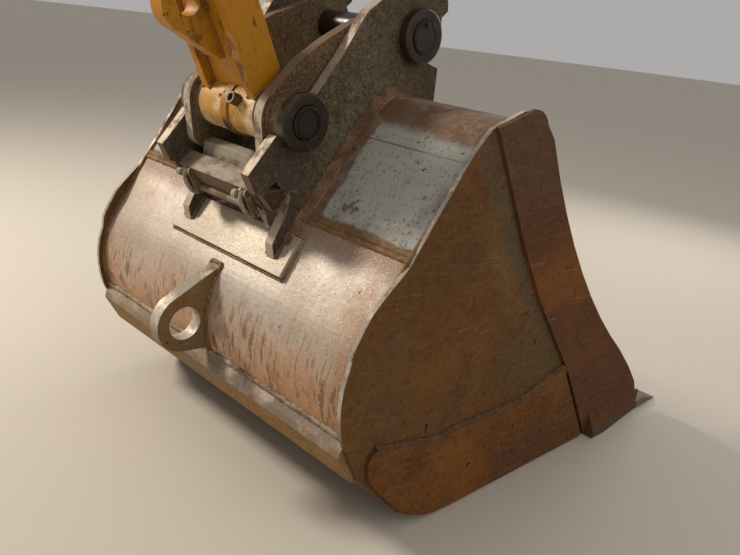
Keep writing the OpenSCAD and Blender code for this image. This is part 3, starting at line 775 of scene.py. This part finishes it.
def greasy(name, names, tone):
    """Steel under grease, shiny where it is thick and dull where dirt sticks to it."""
    f = Finish(name, tone, rough=0.27, gloss=0.4)
    f.coat(f.cut(f.grain(9, 6, 0.65), 0.46, 0.68), shade(tone, 1.5), rough=0.42)
    dirt = f.cut(f.grain(60, 5, 0.7), 0.5, 0.68)
    f.coat(dirt, (0.012, 0.009, 0.008), rough=0.6, strength=0.6)
    dust = f.cut(f.grain(34, 5, 0.7, at=(3, 3, 3)), 0.60, 0.68)
    f.coat(dust, (0.075, 0.05, 0.032), rough=0.7, strength=0.4)
    worn_edges = f.times(f.edges(0.004), f.cut(f.grain(20, 5, 0.65), 0.52, 0.62))
    f.coat(worn_edges, (0.20, 0.16, 0.12), rough=0.4, metal=0.4, strength=0.6)
    f.raise_by(f.grain(60, 5, 0.65), 0.0007)
    return f.done(*names)


collar_finish = greasy("greasy_collar", ["link_collar_left", "stick_collar_left", "stick_collar_right"],
                       tone=(0.029, 0.0175, 0.009))
greasy("greasy_pin", ["link_pin", "stick_pin"], tone=(0.026, 0.0155, 0.012))


# Each collar is kept on its pin by a snap ring with a gap, and notches for the pliers; at the
# link pin's far end the ring is alone. The link pin's collar and each lock lug have a bolt,
# and the stick pin has a grease fitting in each end.
ring_finish = greasy("black_ring", [], tone=(0.0035, 0.0025, 0.002))
link_pin = (1490, 988)
stick_pin = (1115, 1205)


def thicken(piece, thickness):
    """Make a flat piece solid, by half to each side."""
    thick = piece.modifiers.new("thick", "SOLIDIFY")
    thick.thickness = thickness
    thick.offset = 0
    bpy.ops.object.modifier_apply(modifier="thick")


def flat_ring(name, centre, side, radius, hole, points):
    """Flat ring that looks to one side; hole is the share of radius that is open."""
    bpy.ops.object.select_all(action="DESELECT")
    bpy.ops.mesh.primitive_circle_add(vertices=points, radius=radius, location=centre,
                                      rotation=(0, side * math.pi / 2, 0))
    ring = bpy.context.object
    ring.name = name
    bpy.ops.object.transform_apply(location=True, rotation=True, scale=True)
    bpy.ops.object.mode_set(mode="EDIT")
    bpy.ops.mesh.select_all(action="SELECT")
    bpy.ops.mesh.extrude_edges_move()
    bpy.ops.transform.resize(value=(hole, hole, hole), center_override=centre)
    bpy.ops.object.mode_set(mode="OBJECT")
    return ring


def turned_collar(name, x, pin, side, replaced):
    """Collar with rounded rims, in the place of the plain solid one."""
    collar = flat_ring(name, tip(x, *pin), side, radius=0.07, hole=0.572, points=96)
    thicken(collar, 0.03)
    soften(collar, 0.0055, 5)
    bpy.ops.object.shade_smooth_by_angle(angle=math.radians(30))
    dress(collar, collar_finish)
    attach(collar, "coupler")
    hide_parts(replaced)


def snap_ring(name, x, pin, side, radius):
    """Ring with a notch every 40 degrees round its inner rim, and a gap near its top."""
    notch_every, notch_wide, notch_depth = 40, 12, 0.9
    gap_from, gap_to = 96, 112
    centre = tip(x, *pin)
    ring = flat_ring(name, centre, side, radius, hole=0.84, points=72)

    def turned(point):
        return math.degrees(math.atan2(point.z - centre.z, point.y - centre.y))

    for v in ring.data.vertices:
        on_inner_rim = (v.co - centre).length < radius * 0.9
        v.select = on_inner_rim and turned(v.co) % notch_every < notch_wide
    bpy.ops.object.mode_set(mode="EDIT")
    bpy.ops.transform.resize(value=(notch_depth, notch_depth, notch_depth), center_override=centre)
    bpy.ops.object.mode_set(mode="OBJECT")
    for face in ring.data.polygons:
        face.select = gap_from < turned(face.center) % 360 < gap_to
    bpy.ops.object.mode_set(mode="EDIT")
    bpy.ops.mesh.select_mode(type="FACE")
    bpy.ops.mesh.delete(type="FACE")
    bpy.ops.mesh.select_mode(type="VERT")
    bpy.ops.object.mode_set(mode="OBJECT")
    thicken(ring, 0.004)
    soften(ring, 0.0007, 2)
    dress(ring, ring_finish)
    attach(ring, "coupler")


def hex_bolt(name, x, y, z, side, across, body, finish):
    """Bolt head with its washer and a dished top, on a face that looks to one side. Across is
    the size over its flats in metres."""
    radius = across / 2
    high = across * 0.32
    washer_thick = 3
    turn = (0, side * math.pi / 2, 0)
    bpy.ops.object.select_all(action="DESELECT")
    bpy.ops.mesh.primitive_cylinder_add(vertices=32, radius=radius * 1.25, depth=washer_thick / 1000,
                                        location=tip(x + side * washer_thick / 2, y, z), rotation=turn)
    washer = bpy.context.object
    bpy.ops.mesh.primitive_cylinder_add(vertices=6, radius=radius, depth=high, rotation=turn,
                                        location=tip(x + side * (washer_thick + high * 500), y, z))
    head = bpy.context.object
    bpy.ops.object.transform_apply(location=True, rotation=True, scale=True)
    bpy.ops.object.mode_set(mode="EDIT")
    bpy.ops.mesh.select_mode(type="FACE")
    bpy.ops.mesh.select_all(action="DESELECT")
    bpy.ops.object.mode_set(mode="OBJECT")
    for face in head.data.polygons:
        face.select = face.normal.x * side > 0.9
    bpy.ops.object.mode_set(mode="EDIT")
    bpy.ops.mesh.inset(thickness=radius * 0.24)
    bpy.ops.transform.translate(value=(side * across * 0.05, 0, 0))
    bpy.ops.mesh.inset(thickness=radius * 0.3)
    bpy.ops.transform.translate(value=(-side * across * 0.06, 0, 0))
    bpy.ops.mesh.select_mode(type="VERT")
    bpy.ops.object.mode_set(mode="OBJECT")
    washer.select_set(True)
    head.select_set(True)
    bpy.context.view_layer.objects.active = head
    bpy.ops.object.join()
    bolt = bpy.context.object
    bolt.name = name
    bpy.ops.object.transform_apply(location=True, rotation=True, scale=True)
    soften(bolt, 0.0007, 2)
    dress(bolt, finish)
    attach(bolt, body)


turned_collar("turned_link_collar", -225, link_pin, -1, "link_collar_left")
for side, place in ((-1, "left"), (1, "right")):
    turned_collar("turned_stick_collar_" + place, side * 225, stick_pin, side, "stick_collar_" + place)
snap_ring("link_ring_left", -243.5, link_pin, -1, radius=0.0385)
snap_ring("link_ring_right", 205.5, link_pin, 1, radius=0.0445)
for side, place in ((-1, "left"), (1, "right")):
    snap_ring("stick_ring_" + place, side * 241.5, stick_pin, side, radius=0.0445)
hex_bolt("collar_bolt", -240, 1482.3, 932.5, -1, across=0.019, body="coupler", finish=collar_finish)
for side, place in ((-1, "left"), (1, "right")):
    hex_bolt("grease_fitting_" + place, side * 243, 1115, 1234, side, across=0.011, body="coupler",
             finish=collar_finish)
    hex_bolt("lug_bolt_" + place, side * 141, 1566, 789, side, across=0.017, body="bucket",
             finish=lug_finish)


# The link: welded box in yellow paint, scuffed and stained dark, on a tube that has lost
# most of its paint, with an orange band round it and a brown grease stub.
def yellow_paint(name, names, tone, dirt=0.0, more=None, rubbed=(0.52, 0.34, 0.14), rub=0.6):
    """Paint of one tone, with stains that spread as dirt grows, and edges rubbed to a colour."""
    f = Finish(name, tone, rough=0.5, gloss=0.3)
    f.coat(f.cut(f.grain(4, 5, 0.6), 0.44, 0.72), shade(tone, (0.72, 0.6, 0.4)), rough=0.56)
    if more is not None:
        more(f)
    runs = f.cut(f.grain(11, 8, 0.75, (1, 1, 0.45)), 0.53 - dirt, 0.62)
    f.coat(runs, (0.12, 0.06, 0.015), rough=0.66, strength=0.75)
    chips = f.cut(f.grain(20, 7, 0.75, at=(2, 6, 1)), 0.605, 0.64)
    f.coat(chips, (0.045, 0.03, 0.02), rough=0.7)
    fine_dirt = f.cut(f.grain(60, 5, 0.7), 0.56, 0.7)
    f.coat(fine_dirt, (0.16, 0.085, 0.02), rough=0.7, strength=0.5)
    worn_edges = f.times(f.edges(0.006), f.cut(f.grain(25, 4, 0.6), 0.42, 0.56))
    f.coat(worn_edges, rubbed, rough=0.5, strength=rub)
    f.raise_by(f.grain(60, 4, 0.6), 0.0006)
    return f.done(*names)


def cream_patches(f):
    """Cream primer where the yellow is rubbed off, and rusty stains round the band."""
    primer = f.cut(f.grain(5.5, 6, 0.7, at=(2, 0, 3)), 0.44, 0.54)
    f.coat(primer, (0.66, 0.53, 0.34), rough=0.46)
    stained = f.times(f.along(to_right, -0.085, -0.065, rag=f.ragged(16, 0.02)),
                      f.along(to_right, 0.05, 0.02, rag=f.ragged(16, 0.03, (1, 1, 1))))
    f.coat(stained, (0.43, 0.205, 0.030), rough=0.56, strength=0.75)
    scuffs = f.cut(f.grain(30, 7, 0.78, at=(3, 1, 4)), 0.52, 0.60)
    f.coat(scuffs, (0.36, 0.19, 0.05), rough=0.6, strength=0.7)


def darker_underside(f):
    """Darker on the faces that look down."""
    f.coat(f.facing((0, 0.15, -1), 0.35, 0.7), (0.055, 0.032, 0.014), rough=0.5)


def rubbed_end(f):
    """The open end of the stub, bare and pale."""
    f.coat(f.facing((0, 0.94, 0.342), 0.9, 0.96), (0.80, 0.75, 0.68), rough=0.5)


yellow_paint("yellow_link", ["link_side_left", "link_side_right", "link_web", "link_boss_left",
                             "link_boss_right", "link_eye"], tone=(0.47, 0.195, 0.006))
yellow_paint("orange_band", ["link_ring"], tone=(0.38, 0.155, 0.010), dirt=0.03, more=darker_underside)
yellow_paint("cream_tube", ["link_tube"], tone=(0.52, 0.28, 0.065), more=cream_patches)
yellow_paint("brown_stub", ["grease_stub"], tone=(0.062, 0.030, 0.012), dirt=-0.1, more=rubbed_end,
             rubbed=(0.30, 0.22, 0.14), rub=0.3)
link_bead = yellow_paint("grimy_link_weld", [], tone=(0.27, 0.115, 0.008), dirt=0.07)


def on_link(x, back_by, up_by):
    """Point on the link, from millimetres back from its middle line and up from its pin."""
    lean = math.radians(27)
    return tip(x, link_pin[0] + back_by * math.cos(lean) + up_by * math.sin(lean),
               link_pin[1] - back_by * math.sin(lean) + up_by * math.cos(lean))


tube_radius = 68
over_tube = arc((0, 0), tube_radius + 1.5, 55.5, 154, 8)
up_web = [(16, 72), (16, 137), (29, 148), (29, 369)]
up_eye = [(29, 149), (29, 359)]
weld("link_welds", [[on_link(x, y, z) for y, z in over_tube] for x in (-112, -82, 82, 112)]
     + [[on_link(x, y, z) for y, z in up_web] for x in (-82, 82)]
     + [[on_link(x, y, z) for y, z in up_eye] for x in (-27, 27)],
     size=0.0052, body="link", finish=link_bead)
